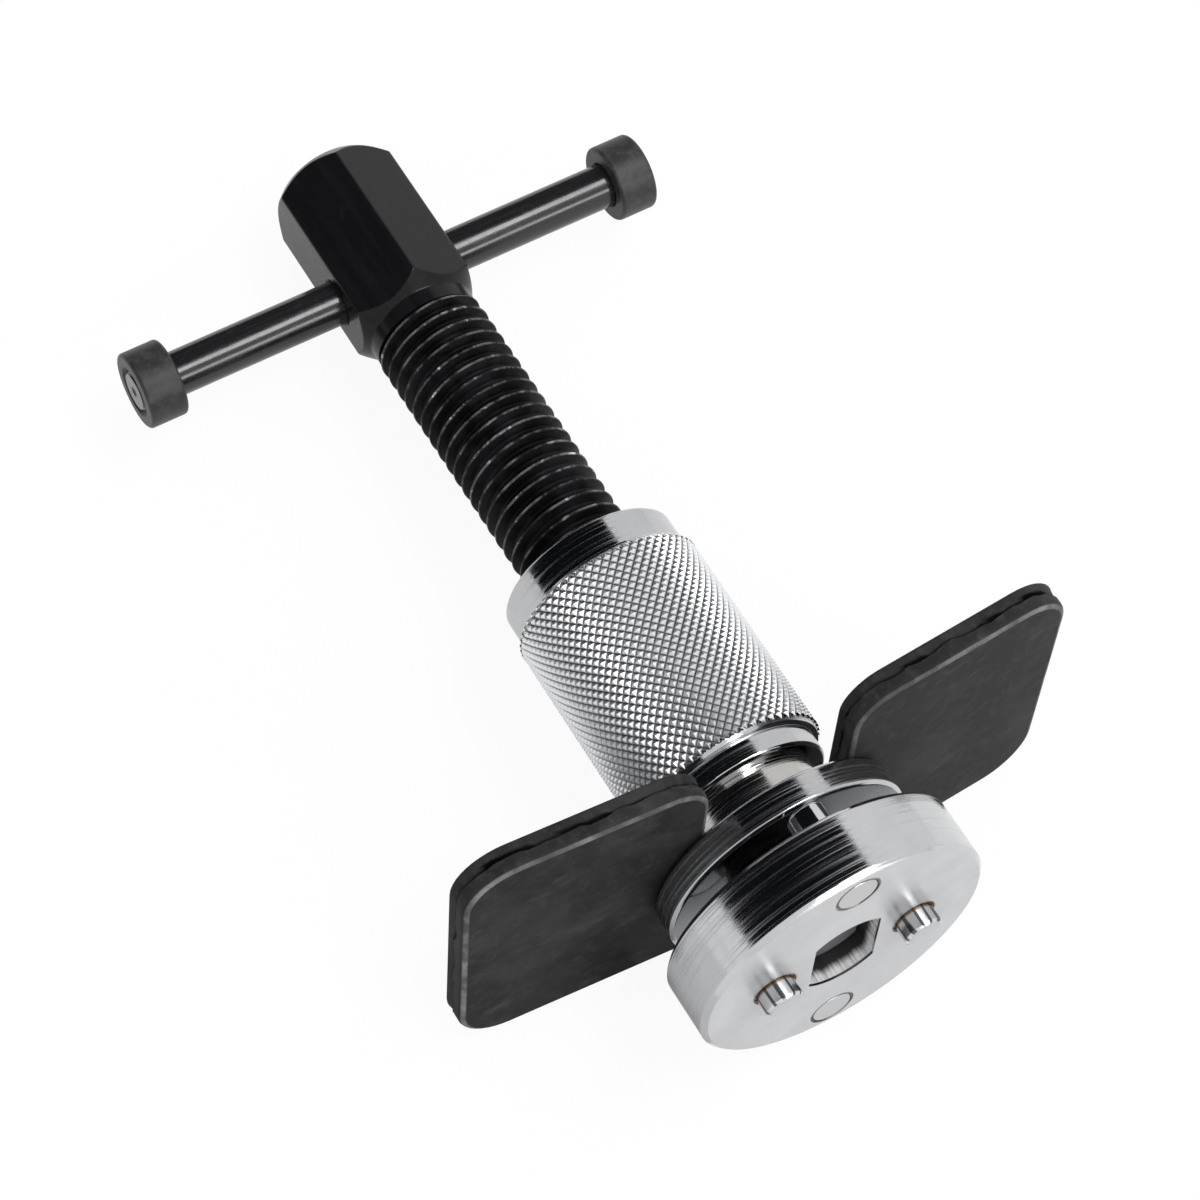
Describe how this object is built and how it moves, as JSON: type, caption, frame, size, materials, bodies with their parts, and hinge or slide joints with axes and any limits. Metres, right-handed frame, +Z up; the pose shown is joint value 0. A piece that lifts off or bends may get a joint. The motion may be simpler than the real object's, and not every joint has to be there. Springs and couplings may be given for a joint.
{
  "type": "brake caliper piston tool",
  "caption": "Hand tool that winds a brake caliper piston back: a T-handled thrust screw through a knurled nut with a slotted reaction plate, and a pin adapter disc on the screw's nose.",
  "frame": {"origin": "on the tool's axis, in the adapter's front face, midway between the two front drive pins", "axes": "+Y along the tool's axis towards the T-handle, +X along the reaction plate's length, +Z up towards the open end of the plate's slot"},
  "size_m": [0.097, 0.1545, 0.05],
  "materials": {
    "blackened_screw": "black oxide, oiled",
    "blackened_bar": "black oxide, satin",
    "blackened_cap": "black oxide, matt",
    "blackened_plate": "black oxide on a stamped plate, matt",
    "plated_nut": "bright plating over turning marks and a diamond knurl",
    "plated_adapter": "bright plating over turning marks",
    "plated_pin": "bright plating with light staining at the base"
  },
  "bodies": {
    "plate_body": {"reaction_plate": "blackened_plate"},
    "nut_body": {"knurled_nut": "plated_nut"},
    "screw_body": {"thrust_screw": "blackened_screw"},
    "bar_body": {"t_bar": "blackened_bar", "bar_cap_left": "blackened_cap", "bar_cap_right": "blackened_cap"},
    "adapter_body": {"adapter_disc": "plated_adapter", "front_pin_left": "plated_pin", "front_pin_right": "plated_pin", "rear_pin_top": "plated_pin", "rear_pin_bottom": "plated_pin"}
  },
  "joints": [
    {"name": "nut_spin", "type": "hinge", "parent": "plate_body", "child": "nut_body", "pos_m": [0, 0.022, 0], "axis": [0, 1, 0], "range_deg": [-58, 6913]},
    {"name": "screw_feed", "type": "slide", "parent": "plate_body", "child": "screw_body", "axis": [0, -1, 0], "range_m": [-0.0004, 0.048]},
    {"name": "bar_slide", "type": "slide", "parent": "screw_body", "child": "bar_body", "axis": [1, 0, 0], "range_m": [-0.028, 0.028]},
    {"name": "adapter_pull", "type": "slide", "parent": "screw_body", "child": "adapter_body", "axis": [0, -1, 0], "range_m": [0, 0.012]}
  ],
  "couplings": [
    {"joint": "nut_spin", "follows": "screw_feed", "rad_per_m": 2513.3}
  ]
}
